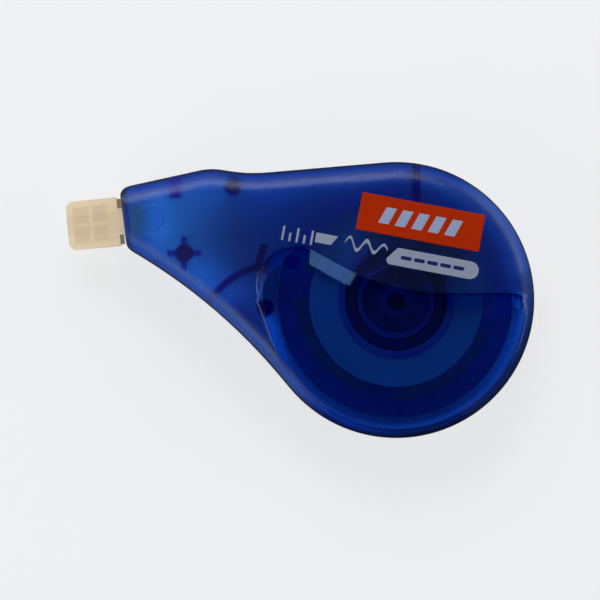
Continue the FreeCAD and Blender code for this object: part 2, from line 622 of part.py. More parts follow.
def make_tip_head():
    """Applicator: wedge head with side rims, a waffle web, a neck and a clip flange."""
    body = doc.addObject("PartDesign::Body", "tip_head")
    half = "dims.head_width / 2"
    neck = "dims.neck_width / 2"
    flange = "dims.flange_width / 2"
    shoulder = "dims.shoulder_width / 2"
    tail = "dims.tail_width / 2"
    side = [
        ("dims.head_length", f"{half} - dims.head_corner"),
        ("dims.head_length - dims.head_corner", half), ("dims.head_start", half),
        ("dims.head_start", shoulder), ("dims.shoulder_start", shoulder),
        ("dims.shoulder_start", neck), ("dims.flange_start", neck), ("dims.flange_start", flange),
        ("dims.flange_end", flange), ("dims.flange_end", tail), ("dims.tail_end", tail),
    ]
    mirrored = [(x, f"-({y})") for x, y in reversed(side)]
    plan = body_sketch(body, "tip_plan", "XY_Plane")
    corner_sketch(plan, side + mirrored)
    pad(body, "tip_blank", plan, "dims.head_rear_thick")

    # the wedge: everything above the sloping faces is cut away, on both sides
    for face, sign in (("upper", ""), ("lower", "-")):
        slope = [
            ("dims.head_length + dims.overcut", f"{sign}(dims.head_front_thick / 2)"),
            ("dims.head_length", f"{sign}(dims.head_front_thick / 2)"),
            ("dims.wedge_start", f"{sign}(dims.head_rear_thick / 2)"),
            ("dims.wedge_start", f"{sign}(dims.head_rear_thick / 2 + dims.overcut)"),
            ("dims.head_length + dims.overcut", f"{sign}(dims.head_rear_thick / 2 + dims.overcut)"),
        ]
        side_cut(body, f"wedge_{face}", slope)
        tail_step = rectangle("dims.tail_end - dims.overcut", "dims.flange_end",
                              f"{sign}(dims.tail_thick / 2)",
                              f"{sign}(dims.head_rear_thick / 2 + dims.overcut)")
        side_cut(body, f"tail_{face}", tail_step)
        flange_step = rectangle("dims.flange_end - dims.overlap", "dims.flange_start",
                                f"{sign}(dims.flange_thick / 2)",
                                f"{sign}(dims.head_rear_thick / 2 + dims.overcut)")
        side_cut(body, f"flange_{face}", flange_step)

    recess = "dims.recess_width / 2"
    channel = "dims.channel_width / 2"
    narrow = "dims.recess_start - (dims.recess_width - dims.channel_width) / 2"
    floor = [("dims.bar_start", recess), ("dims.recess_start", recess), (narrow, channel),
             ("dims.flange_end - dims.overcut", channel)]
    floor += [(x, f"-({y})") for x, y in reversed(floor)]
    pocket_both_faces(body, "recess", floor, "dims.web_thick / 2")
    bar = rectangle("dims.bar_start - dims.overlap", "dims.head_length + dims.overcut",
                    f"-({channel})", channel)
    pocket_both_faces(body, "bar", bar, "dims.bar_thick / 2")

    for way, sign in (("left", ""), ("right", "-")):
        notch = rectangle("dims.shoulder_start - dims.overcut", "dims.head_start",
                          f"{sign}({neck})", f"{sign}({shoulder} + dims.overcut)")
        pocket_both_faces(body, f"shoulder_{way}", notch, "dims.shoulder_thick / 2")

    round_front(body)
    rib = "dims.pocket_rib / 2"
    rows = (("dims.pocket_row + " + rib, "dims.bar_start - dims.waffle_front_gap"),
            ("dims.recess_start + dims.waffle_rear_gap", "dims.pocket_row - " + rib))
    for number, (low, high) in enumerate(rows):
        for way, sign in (("left", ""), ("right", "-")):
            cell = rectangle(low, high, f"{sign}({rib})", f"{sign}({recess} - dims.waffle_edge)")
            pocket_both_faces(body, f"waffle_{way}_{number}", cell,
                              "dims.web_thick / 2 - dims.pocket_depth")
    turn = Rotation(Vector(0, 0, 1), dim("tip_angle"))
    body.Placement = Placement(tip_point(0.0), turn)
    doc.recompute()
    return body


def round_front(body):
    """Round the front edge of the tip, where the tape turns, above and below."""
    radius = "dims.bar_thick / 2"
    centre = f"dims.head_length - {radius}"
    for face, sign in (("upper", ""), ("lower", "-")):
        above = f"{sign}({radius} + dims.head_corner)"
        corners = [(f"{centre} - dims.head_corner", above)]
        for angle in (90, 60, 30, 0):
            corners.append((f"{centre} + {radius} * cos({angle})",
                            f"{sign}({radius} * sin({angle}))"))
        corners.append(("dims.head_length + dims.overcut", "0"))
        corners.append(("dims.head_length + dims.overcut", above))
        side_cut(body, f"front_round_{face}", corners)


def side_cut(body, name, corners):
    """Cut right across the tip, drawn on its side view."""
    sketch = body_sketch(body, f"{name}_profile", "XZ_Plane")
    corner_sketch(sketch, corners)
    before = body.Shape.Volume
    pocket = body.newObject("PartDesign::Pocket", name)
    pocket.Profile = sketch
    pocket.Type = 1
    pocket.Midplane = True
    doc.recompute()
    if body.Shape.Volume > before - LEAST_CUT:
        raise ValueError(f"{name} cut nothing")


# ---------------------------------------------------------------- tape runs


def section(point, along, across, width, thick):
    """Rectangle across a tape run: wide along one direction, thin along the other."""
    wide = across - along * across.dot(along)
    wide.normalize()
    thin = along.cross(wide)
    a = wide * (width / 2)
    b = thin * (thick / 2)
    corners = [point + a + b, point - a + b, point - a - b, point + a - b]
    return Part.makePolygon(corners + corners[:1])


def ribbon(name, stations):
    """Thin solid through stations (point, direction, width direction)."""
    wires = []
    for point, along, across in stations:
        along = Vector(along)
        along.normalize()
        wires.append(section(point, along, across, dim("tape_width"), dim("run_thick")))
    feature = doc.addObject("Part::Feature", name)
    feature.Shape = Part.makeLoft(wires, True, True)
    feature.Placement = Placement()
    return feature


def arc_stations(centre, radius, start, end, height, count):
    """Stations round an upright post, counter-clockwise, angles of the way forward."""
    stations = []
    for i in range(count):
        way = math.radians(start + (end - start) * i / (count - 1))
        along = Vector(math.cos(way), math.sin(way), 0)
        out = Vector(along.y, -along.x, 0)
        stations.append((Vector(centre.x, centre.y, height) + out * radius, along,
                         Vector(0, 0, 1)))
    return stations


def twist_stations(first, last, reach, count):
    """Stations along a cubic curve while the width turns from one to the other."""
    p0, d0, w0 = first
    p3, d3, w3 = last
    p1 = p0 + d0 * reach[0]
    p2 = p3 - d3 * reach[1]
    stations = []
    for i in range(1, count):
        s = i / count
        r = 1 - s
        point = p0 * r**3 + p1 * (3 * r * r * s) + p2 * (3 * r * s * s) + p3 * s**3
        along = (p1 - p0) * (r * r) + (p2 - p1) * (2 * r * s) + (p3 - p2) * (s * s)
        ease = s * s * (3 - 2 * s)
        turn = ease * math.pi / 2
        across = w0 * math.cos(turn) + w3 * math.sin(turn)
        stations.append((point, along, across))
    return stations


def tip_way(sign):
    """Unit direction along the tip: outwards for +1, back into the casing for -1."""
    turn = math.radians(dim("tip_angle"))
    return Vector(sign * math.cos(turn), sign * math.sin(turn), 0)


def tip_across():
    """Unit direction across the tip, towards +Y."""
    turn = math.radians(dim("tip_angle"))
    return Vector(math.sin(turn), -math.cos(turn), 0)


def make_supply_run():
    """Tape from the full roll over the high post, twisting to the tip's lower face."""
    lift = dim("run_gap") + dim("run_thick") / 2
    roll = dim("tape_outer_radius") + lift
    post = dim("high_post_radius") + lift
    middle = dim("tape_z") + dim("tape_width") / 2
    spot = Vector(dim("high_post_x"), dim("high_post_y"), 0)
    leave, arrive = tangent_line((0, 0, roll), (spot.x, spot.y, post))
    way = (arrive - leave).normalize()
    heading = math.degrees(math.atan2(way.y, way.x))
    up = Vector(0, 0, 1)
    under = -(dim("tail_thick") / 2 + lift)
    tail = tip_point(dim("tail_end"), 0.0, under)
    stations = [(Vector(leave.x, leave.y, middle), way, up)]
    bend = math.degrees(math.atan2(tail.y - arrive.y, tail.x - arrive.x)) % 360
    stations += arc_stations(spot, post, heading, bend, middle, POST_STEPS)
    last = (tail, tip_way(1), tip_across())
    first = (stations[-1][0], stations[-1][1], up)
    stations += twist_stations(first, last, SUPPLY_REACH, TWIST_STEPS)
    stations.append(last)
    stations += tip_wrap(under)
    return ribbon("tape_supply_run", stations)


def tip_wrap(under):
    """Stations along the tip's lower face and halfway round its front edge."""
    lift = dim("run_gap") + dim("run_thick") / 2
    edge = dim("bar_thick") / 2 + lift
    centre = dim("head_length") - dim("bar_thick") / 2
    out = tip_way(1)
    across = tip_across()
    stations = [(tip_point(dim("flange_end") - RUN_LEAD, 0.0, under), out, across)]
    for i in range(EDGE_STEPS):
        turn = math.radians(90.0 * i / (EDGE_STEPS - 1))
        point = tip_point(centre + edge * math.sin(turn), 0.0, -edge * math.cos(turn))
        along = out * math.cos(turn) + Vector(0, 0, math.sin(turn))
        stations.append((point, along, across))
    return stations


def make_return_run():
    """Used film from the tip's front edge over its upper face to the take-up drum."""
    lift = dim("run_gap") + dim("run_thick") / 2
    edge = dim("bar_thick") / 2 + lift
    above = dim("tail_thick") / 2 + lift
    centre = dim("head_length") - dim("bar_thick") / 2
    across = tip_across()
    back = tip_way(-1)
    stations = []
    for i in range(EDGE_STEPS):
        turn = math.radians(90.0 * i / (EDGE_STEPS - 1))
        point = tip_point(centre + edge * math.cos(turn), 0.0, edge * math.sin(turn))
        along = back * math.sin(turn) + Vector(0, 0, math.cos(turn))
        stations.append((point, along, across))
    stations.append((tip_point(dim("flange_end") - RUN_LEAD, 0.0, above), back, across))
    tail = (tip_point(dim("tail_end"), 0.0, above), back, across)
    stations.append(tail)
    middle = dim("used_z") + dim("tape_width") / 2
    post = dim("low_post_radius") + lift
    drum = dim("used_outer_radius") + lift
    spot = Vector(dim("low_post_x"), dim("low_post_y"), 0)
    leave, arrive = tangent_line((spot.x, spot.y, post), (0, 0, drum))
    way = (arrive - leave).normalize()
    heading = math.degrees(math.atan2(way.y, way.x))
    round_post = arc_stations(spot, post, heading - RETURN_LEAD_ANGLE, heading, middle,
                              POST_STEPS - 2)
    stations += twist_stations(tail, round_post[0], RETURN_REACH, TWIST_STEPS)
    stations += round_post
    stations.append((Vector(arrive.x, arrive.y, middle), way, Vector(0, 0, 1)))
    return ribbon("tape_return_run", stations)


# ---------------------------------------------------------------- label


def make_face_label():
    """Thin label on the front face, following the rounding at its corner."""
    sketch = free_sketch("label_outline", "dims.casing_depth - dims.label_reach")
    half_length = "dims.label_length / 2"
    half_height = "dims.label_height / 2"
    corners = []
    for across, up in ((-1, -1), (1, -1), (1, 1), (-1, 1)):
        along = f"({across} * {half_length})"
        rise = f"({up} * {half_height})"
        corners.append((f"dims.label_x + {along} * cos(dims.label_angle)"
                        f" - {rise} * sin(dims.label_angle)",
                        f"dims.label_y + {along} * sin(dims.label_angle)"
                        f" + {rise} * cos(dims.label_angle)"))
    corner_sketch(sketch, corners)
    prism = extrude("label_prism", sketch, "2 * dims.label_reach")
    top = "dims.casing_depth"
    outer = casing_solid("label_base", "dims.parting_z", top, dim("casing_depth"), 0.0)
    doc.recompute()
    lifted = doc.addObject("Part::Feature", "label_skin")
    lifted.Shape = outer.Shape.copy()
    lifted.setExpression("Placement.Base.z", "dims.label_thick")
    return cut("face_label", common("label_patch", prism, lifted), outer)


# ---------------------------------------------------------------- assembly


def build():
    """Make every piece and return them by name."""
    tape_top = "dims.tape_z + dims.tape_width"
    used_top = "dims.used_z + dims.tape_width"
    pieces = [
        make_front_shell(),
        make_rear_shell(),
        make_face_label(),
        make_tip_head(),
        make_supply_spool(),
        make_clutch_ring(),
        make_wound("supply_tape", "dims.tape_inner_radius", "dims.tape_outer_radius",
                   "dims.tape_z", tape_top),
        make_take_up_reel(),
        make_wound("used_film", "dims.drum_radius", "dims.used_outer_radius", "dims.used_z",
                   used_top),
        make_supply_run(),
        make_return_run(),
    ]
    doc.recompute()
    return pieces


def export(pieces):
    """Check every object and piece, then write one file a piece."""
    for item in doc.Objects:
        if "Invalid" in item.State or "Error" in item.State:
            raise ValueError(f"{item.Name} failed: {item.State}")
    for piece in pieces:
        if piece.Shape.isNull() or not piece.Shape.isValid():
            raise ValueError(f"{piece.Name} is not a valid solid")
    os.makedirs("parts", exist_ok=True)
    for piece in pieces:
        piece.Label = piece.Name
        piece.Shape.exportStep(f"parts/{piece.Label}.step")
        print(piece.Label, len(piece.Shape.Solids), round(piece.Shape.Volume, 1))


export(build())
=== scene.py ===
"""Correction tape dispenser: materials, prints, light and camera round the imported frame."""

import math

import bmesh
import bpy
from mathutils import Matrix, Vector


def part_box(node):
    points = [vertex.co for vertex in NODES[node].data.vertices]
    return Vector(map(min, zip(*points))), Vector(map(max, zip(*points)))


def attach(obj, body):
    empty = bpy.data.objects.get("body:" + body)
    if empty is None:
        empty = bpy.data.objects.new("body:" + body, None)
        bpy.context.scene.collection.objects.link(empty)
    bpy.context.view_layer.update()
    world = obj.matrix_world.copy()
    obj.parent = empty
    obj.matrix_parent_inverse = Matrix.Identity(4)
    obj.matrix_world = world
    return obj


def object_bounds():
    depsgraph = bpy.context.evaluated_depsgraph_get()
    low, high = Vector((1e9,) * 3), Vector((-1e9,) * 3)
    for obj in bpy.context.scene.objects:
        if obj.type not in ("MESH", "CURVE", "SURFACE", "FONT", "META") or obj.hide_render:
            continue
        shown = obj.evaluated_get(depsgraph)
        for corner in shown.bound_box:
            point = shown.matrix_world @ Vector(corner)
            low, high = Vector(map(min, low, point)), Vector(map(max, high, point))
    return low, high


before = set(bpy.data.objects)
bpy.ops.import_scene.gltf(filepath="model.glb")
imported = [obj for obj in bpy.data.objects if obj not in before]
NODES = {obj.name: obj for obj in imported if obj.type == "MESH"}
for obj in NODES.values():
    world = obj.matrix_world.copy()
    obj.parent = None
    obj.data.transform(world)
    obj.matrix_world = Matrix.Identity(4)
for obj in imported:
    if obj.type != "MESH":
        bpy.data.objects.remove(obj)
CAD_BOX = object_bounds()
MM = 0.001

# ------------------------------------------------------------------ places in metres

FACE_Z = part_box("front_shell")[1].z
LABEL_LOW, LABEL_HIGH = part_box("face_label")
LABEL_CENTRE = (LABEL_LOW + LABEL_HIGH) / 2
INK_THICK = 0.04 * MM
FLOOR_GAP = 0.02 * MM
FLOOR_HALF = 1.5

# ------------------------------------------------------------------ places in millimetres
# A circle is its centre and radius. A line is its normal and its distance from the origin.
# The origin in x and y is the axis that both reels turn about.

MIDDLE_Z = 8.5
LOBE_RADIUS = 28.15
CREASE_RADIUS = 26.5
TIP_LINE = (-0.0958, 0.9954, 21.42)

# The casing's outline: the circles that it bends round, and the lines that bound the rest.
NECK_CIRCLE = (-29.0, 57.75, 31.85)
BELLY_CIRCLE = (-110.78, -88.12, 113.35)
LOBE_TOP_LINE = (-0.0847, 0.9964, LOBE_RADIUS)
HUMP_LINE = (-0.206, 0.979, 34.05)
FRONT_LINE = (-1.0, 0.0, 55.8)
AXIS_LINE = (1.0, 0.0, 0.0)
BELLY_END_LINE = (0.6225, -0.7826, 0.0)

# The window's edge: a long sweep, a straight to its left, a round corner and a left side.
SWEEP_CENTRE = (10.0, 44.3)
SWEEP_RADIUS = 42.9
STRAIGHT_NORMAL = (0.4718, 0.8817)
STRAIGHT_REACH = 0.873
STRAIGHT_END_X = -10.24
CORNER_CENTRE = (-20.5, 3.0)
CORNER_RADIUS = 7.9
LEFT_NORMAL = (-0.938, -0.345)
LEFT_REACH = 26.6
LEFT_LENGTH = 9.9


# ------------------------------------------------------------------ node helpers

class Graph:
    """A node tree, with short calls for the nodes that this scene uses."""

    def __init__(self, owner, out_kind="ShaderNodeOutputMaterial"):
        owner.use_nodes = True
        self.owner = owner
        self.tree = owner.node_tree
        self.tree.nodes.clear()
        self.out = self.add(out_kind)

    def add(self, kind, **settings):
        """New node. Settings whose name is an input go to that input, as a value or a link."""
        node = self.tree.nodes.new(kind)
        for key, value in settings.items():
            name = key.replace("_", " ")
            if name in node.inputs:
                self.feed(node.inputs[name], value)
            else:
                setattr(node, key, value)
        return node

    def feed(self, socket, value):
        """Link value to the socket if it is one, or else set it."""
        if isinstance(value, bpy.types.NodeSocket):
            self.tree.links.new(value, socket)
        elif isinstance(value, tuple) and len(value) == 3 and len(socket.default_value) == 4:
            socket.default_value = (*value, 1.0)
        else:
            socket.default_value = value

    def math(self, operation, *values):
        """Result of a math operation, run from left to right over its values."""
        node = self.add("ShaderNodeMath", operation=operation)
        for socket, value in zip(node.inputs, values[:2]):
            self.feed(socket, value)
        result = node.outputs[0]
        return self.math(operation, result, *values[2:]) if len(values) > 2 else result

    def position(self):
        """Object coordinates in millimetres, as a vector and as separate x, y and z."""
        coords = self.add("ShaderNodeTexCoord").outputs["Object"]
        vector = self.scaled(coords, 1.0 / MM)
        split = self.add("ShaderNodeSeparateXYZ", Vector=vector)
        return vector, split.outputs["X"], split.outputs["Y"], split.outputs["Z"]

    def noise(self, vector, scale, detail=2.0, roughness=0.5):
        """Noise in millimetre coordinates."""
        return self.add("ShaderNodeTexNoise", Vector=vector, Scale=scale, Detail=detail,
                        Roughness=roughness).outputs["Fac"]

    def remap(self, value, low, high, to_low, to_high, smooth=False):
        """Value mapped from one range to another, and held inside it."""
        kind = "SMOOTHSTEP" if smooth else "LINEAR"
        node = self.add("ShaderNodeMapRange", interpolation_type=kind)
        for name, given in (("Value", value), ("From Min", low), ("From Max", high),
                            ("To Min", to_low), ("To Max", to_high)):
            self.feed(node.inputs[name], given)
        return node.outputs["Result"]

    def share(self, value, none_at, full_at):
        """Share that goes from 0 at one value to 1 at the other."""
        return self.remap(value, none_at, full_at, 0.0, 1.0)

    def scaled(self, vector, factor):
        """Vector or colour times a number."""
        node = self.add("ShaderNodeVectorMath", operation="SCALE")
        self.feed(node.inputs[0], vector)
        self.feed(node.inputs["Scale"], factor)
        return node.outputs[0]

    def mix(self, kind, sockets, factor, first, second):
        """Mix node of one kind, fed at its factor, first and second sockets."""
        node = self.add("ShaderNodeMix", data_type=kind)
        for socket, value in zip(sockets, (factor, first, second)):
            self.feed(node.inputs[socket], value)
        return node

    def blend(self, factor, first, second):
        """Colour mixed from first to second."""
        return self.mix("RGBA", (0, 6, 7), factor, first, second).outputs[2]

    def mix_value(self, factor, first, second):
        """Number mixed from first to second."""
        return self.mix("FLOAT", (0, 2, 3), factor, first, second).outputs[0]

    def mix_shader(self, factor, first, second):
        """Shader mixed from first to second."""
        node = self.add("ShaderNodeMixShader")
        for socket, value in zip(node.inputs, (factor, first, second)):
            self.feed(socket, value)
        return node.outputs[0]

    def shader(self, kind, **settings):
        """Output of a shader node."""
        return self.add("ShaderNode" + kind, **settings).outputs[0]

    def bump(self, height, distance, **settings):
        """Normal from a height, with a distance in metres."""
        return self.add("ShaderNodeBump", Height=height, Distance=distance,
                        **settings).outputs["Normal"]

    def surface(self, shader):
        """Send the shader to the output, and give the material or the world back."""
        self.feed(self.out.inputs["Surface"], shader)
        return self.owner


def new_material(name):
    """Node tree of a new material."""
    return Graph(bpy.data.materials.new(name))


def darker(colour, factor):
    """Plain colour times a number."""
    return tuple(channel * factor for channel in colour)


def use(material, name):
    """Give a CAD node this material."""
    mesh = NODES[name].data
    mesh.materials.clear()
    mesh.materials.append(material)


# ------------------------------------------------------------------ distances, in millimetres

def ring_distance(graph, x, y, cx=0.0, cy=0.0, radius=0.0):
    """Distance outside a circle, negative inside it."""
    dx = graph.math("SUBTRACT", x, cx)
    dy = graph.math("SUBTRACT", y, cy)
    squares = graph.math("ADD", graph.math("MULTIPLY", dx, dx), graph.math("MULTIPLY", dy, dy))
    return graph.math("SUBTRACT", graph.math("SQRT", squares), radius)


def depth_in_ring(graph, x, y, cx, cy, radius):
    """Distance inside a circle, negative outside it."""
    return graph.math("MULTIPLY", ring_distance(graph, x, y, cx, cy, radius), -1.0)


def line_distance(graph, x, y, nx, ny, reach):
    """Distance on the near side of a line, negative beyond it."""
    along = graph.math("ADD", graph.math("MULTIPLY", x, nx), graph.math("MULTIPLY", y, ny))
    return graph.math("SUBTRACT", reach, along)


def footprint(graph, x, y):
    """Distance inside the casing's outline, negative outside it."""
    parts = [ring_distance(graph, x, y, *circle) for circle in (NECK_CIRCLE, BELLY_CIRCLE)]
    for line in (LOBE_TOP_LINE, HUMP_LINE, FRONT_LINE, AXIS_LINE, BELLY_END_LINE):
        parts.append(line_distance(graph, x, y, *line))
    snout = graph.math("MINIMUM", *parts)
    return graph.math("MAXIMUM", snout, depth_in_ring(graph, x, y, 0.0, 0.0, LOBE_RADIUS))


def window_distance(graph, x, y):
    """Distance inside the polished window, negative outside it."""
    steep = 1000.0
    held = graph.math("MINIMUM", x, SWEEP_CENTRE[0])
    sweep = ring_distance(graph, held, y, *SWEEP_CENTRE, SWEEP_RADIUS)
    straight = line_distance(graph, x, y, *STRAIGHT_NORMAL, STRAIGHT_REACH)
    past_end = graph.math("MULTIPLY", graph.math("SUBTRACT", x, STRAIGHT_END_X), steep)
    straight = graph.math("MAXIMUM", straight, past_end)
    left = line_distance(graph, x, y, *LEFT_NORMAL, LEFT_REACH)
    round_corner = depth_in_ring(graph, x, y, *CORNER_CENTRE, CORNER_RADIUS)
    dx = graph.math("SUBTRACT", x, CORNER_CENTRE[0])
    dy = graph.math("SUBTRACT", y, CORNER_CENTRE[1])
    right_of_corner = line_distance(graph, dx, dy, -STRAIGHT_NORMAL[1], STRAIGHT_NORMAL[0], 0.0)
    below_corner = line_distance(graph, dx, dy, LEFT_NORMAL[1], -LEFT_NORMAL[0], 0.0)
    corner = graph.math("MAXIMUM", round_corner, right_of_corner, below_corner)
    lobe = depth_in_ring(graph, x, y, 0.0, 0.0, CREASE_RADIUS)
    up = line_distance(graph, x, y, -LEFT_NORMAL[1], LEFT_NORMAL[0], 0.0)
    beside = graph.math("MINIMUM", left, up, graph.math("SUBTRACT", LEFT_LENGTH, up))
    rim = graph.math("MAXIMUM", lobe, round_corner, beside)
    return graph.math("MINIMUM", sweep, straight, left, corner, rim)


# ------------------------------------------------------------------ casing
# A pair holds the values at which a share is 0 and 1. Four numbers are a range: two values
# and the results that belong to them. Values are in millimetres, except that frost, grain
# and speck are shares.

CASING_INDEX = 1.49
CASING_DENSITY = 1876.0
CASING_PASSED = (0.0, 0.572, 0.94)
BEVEL_RADIUS = 0.3 * MM
BEVEL_SAMPLES = 4
GRAIN_NOISE = (7.0, 3.0, 0.65)
GRAIN_DEPTH = 0.03 * MM
SPECK_NOISE = (4.0, 2.0, 0.8)
FROST_EDGE = (0.3, -0.45)
GRIT_BY_FROST = (0.0, 1.0, 0.22, 0.5)

INNER_ROUGH_BY_FROST = (0.0, 1.0, 0.02, 0.42)
INNER_ROUGH_GRAIN = 0.16
OUTER_ROUGH_BY_FROST = (0.0, 1.0, 0.03, 0.16)
OUTER_ROUGH_GRAIN = 0.12

CLEAR_TINT = (1.0, 1.0, 1.0)
# Painted shade: the light let through is darker round the lobe's rim towards the bottom.
RIM_PAINTED_SHADE_TINT = (0.45, 0.58, 0.74)
RIM_BAND = (26.2, 27.4)
RIM_DOWN = (2.0, -14.0)

# Painted dimming of the reflection on the right part of the ramp into the window.
RAMP_OUTER = (-5.0, -3.5)
RAMP_INNER = (0.4, 0.0)
RAMP_DIMMING_BY_X = (-8.0, 2.0, 0.0, 0.7)

# Painted highlights along the window's left and right edges.
GLINT_LINE = (0.17, 0.02)
GLINT_TOP = (6.0, 3.0)
GLINT_FOOT = (-13.0, -8.0)
GLINT_LEFT = (-19.0, -21.0)
GLINT_RIGHT = (21.0, 23.0)
GLINT_RIGHT_TOP = (-1.0, -2.5)
GLINT_FRONT = (14.5, 15.5)
GLINT_SHARE = 0.26

EDGE_INNER = (2.8, 1.1)
EDGE_OUTER = (0.15, 0.8)
EDGE_HEIGHT = (3.5, 6.5)
# Painted sheen on the rounded edge: strong low on the left, faint at the bottom and along the
# top, rising towards the top on the right.
EDGE_LEFT_DOWN = (24.0, -4.0, 0.05, 0.36)
EDGE_LEFT_FOOT = (-17.0, -23.0, 1.0, 0.05)
EDGE_RIGHT_UP = (-6.0, 14.0, 0.06, 0.32)
EDGE_LEFT_TO_RIGHT = (12.0, 18.0)

# The diffuse layer is frost haze and painted light: more light towards the nose, painted sheen on
# the edge and painted glints at the window's edges.
HAZE_COLOUR = (0.75, 0.85, 0.95)
PAINTED_EDGE_SHEEN_COLOUR = (0.12, 0.34, 1.15)
HAZE_GLINT_COLOUR = (0.55, 0.85, 1.3)
HAZE_AND_PAINTED_LIGHT_BY_X = (-24.0, -54.0, 0.008, 0.035)
HAZE_BY_GRAIN = (0.3, 0.7, 0.5, 1.5)
HAZE_BY_SPECK = (0.58, 0.72, 0.0, 0.02)


def ramp_dimmed_gloss(graph, x, seen):
    """Share of gloss, lower on the right part of the ramp into the window: a painted dimming of
    its reflection there.
    """
    ramp = graph.math("MULTIPLY", graph.share(seen, *RAMP_OUTER), graph.share(seen, *RAMP_INNER))
    dimming = graph.math("MULTIPLY", ramp, graph.remap(x, *RAMP_DIMMING_BY_X))
    return graph.math("SUBTRACT", 1.0, dimming)


def window_glint(graph, x, y, z, seen):
    """Painted thin highlights on the window's left edge and on its right edge."""
    line = graph.share(graph.math("ABSOLUTE", seen), *GLINT_LINE)
    ends = graph.math("MULTIPLY", graph.share(y, *GLINT_TOP), graph.share(y, *GLINT_FOOT))
    right = graph.math("MULTIPLY", graph.share(x, *GLINT_RIGHT), graph.share(y, *GLINT_RIGHT_TOP))
    sides = graph.math("MAXIMUM", graph.share(x, *GLINT_LEFT), right)
    return graph.math("MULTIPLY", line, ends, sides, graph.share(z, *GLINT_FRONT))


def edge_painted_sheen(graph, x, y, z):
    """Band along the casing's rounded edge, and the share of painted sheen that each side has
    there.
    """
    inside = footprint(graph, x, y)
    height = graph.math("ABSOLUTE", graph.math("SUBTRACT", z, MIDDLE_Z))
    band = graph.math("MULTIPLY", graph.share(inside, *EDGE_INNER),
                      graph.share(inside, *EDGE_OUTER), graph.share(height, *EDGE_HEIGHT))
    left = graph.math("MULTIPLY", graph.remap(y, *EDGE_LEFT_DOWN),
                      graph.remap(y, *EDGE_LEFT_FOOT))
    right = graph.remap(y, *EDGE_RIGHT_UP)
    return band, graph.mix_value(graph.share(x, *EDGE_LEFT_TO_RIGHT), left, right)


def casing_tint(graph, x, y, speck, frost):
    """Colour of the light let through: gritty, and darker round the lobe's lower rim, a painted
    shade.
    """
    radius = ring_distance(graph, x, y)
    # Painted shade round the lobe's lower rim.
    rim = graph.math("MULTIPLY", graph.share(radius, *RIM_BAND), graph.share(y, *RIM_DOWN))
    grit = graph.math("MULTIPLY", graph.math("SUBTRACT", speck, 0.5),
                      graph.remap(frost, *GRIT_BY_FROST))
    return graph.scaled(graph.blend(rim, CLEAR_TINT, RIM_PAINTED_SHADE_TINT), graph.math("ADD", grit, 1.0))


def casing_plastic(name, window):
    """Translucent blue plastic: fine grain all over, polished inside the window. Painted sheen,
    glints and shade.
    """
    graph = new_material(name)
    vector, x, y, z = graph.position()
    frost, gloss_level, glint = 1.0, 1.0, 0.0
    if window:
        seen = window_distance(graph, x, y)
        frost = graph.share(seen, *FROST_EDGE)
        gloss_level = ramp_dimmed_gloss(graph, x, seen)
        glint = window_glint(graph, x, y, z, seen)
    grain = graph.noise(vector, *GRAIN_NOISE)
    speck = graph.noise(vector, *SPECK_NOISE)
    fleck = graph.math("MULTIPLY", grain, frost)
    edge = graph.add("ShaderNodeBevel", Radius=BEVEL_RADIUS, samples=BEVEL_SAMPLES)
    normal = graph.bump(fleck, GRAIN_DEPTH, Normal=edge.outputs["Normal"])

    inner_rough = graph.math("ADD", graph.remap(frost, *INNER_ROUGH_BY_FROST),
                             graph.math("MULTIPLY", fleck, INNER_ROUGH_GRAIN))
    outer_rough = graph.math("ADD", graph.remap(frost, *OUTER_ROUGH_BY_FROST),
                             graph.math("MULTIPLY", fleck, OUTER_ROUGH_GRAIN))
    through = graph.shader("BsdfRefraction", IOR=CASING_INDEX, Roughness=inner_rough,
                           Normal=normal, Color=casing_tint(graph, x, y, speck, frost))
    gloss = graph.shader("BsdfGlossy", Roughness=outer_rough, Normal=normal,
                         Color=graph.scaled(CLEAR_TINT, gloss_level))
    fresnel = graph.add("ShaderNodeFresnel", IOR=CASING_INDEX, Normal=normal).outputs[0]
    body = graph.mix_shader(fresnel, through, gloss)
    absorb = graph.shader("VolumeAbsorption", Density=CASING_DENSITY, Color=CASING_PASSED)
    graph.feed(graph.out.inputs["Volume"], absorb)

    band, painted_side_light = edge_painted_sheen(graph, x, y, z)
    colour = graph.blend(glint, graph.blend(band, HAZE_COLOUR, PAINTED_EDGE_SHEEN_COLOUR),
                         HAZE_GLINT_COLOUR)
    # Diffuse layer of frost haze and painted light.
    haze = graph.shader("BsdfDiffuse", Color=colour)
    amount = graph.math("ADD", graph.math("MULTIPLY", graph.remap(x, *HAZE_AND_PAINTED_LIGHT_BY_X), frost),
                        graph.math("MULTIPLY", band, painted_side_light))
    amount = graph.math("MULTIPLY", amount, graph.remap(grain, *HAZE_BY_GRAIN))
    sparkle = graph.math("MULTIPLY", graph.remap(speck, *HAZE_BY_SPECK), frost)
    amount = graph.math("ADD", amount, graph.math("MULTIPLY", glint, GLINT_SHARE), sparkle)
    return graph.surface(graph.mix_shader(amount, body, haze))


# ------------------------------------------------------------------ inner parts

# A noise is its scale per millimetre, its detail and its roughness. UNEVEN is the span of
# noise values over which a surface changes.

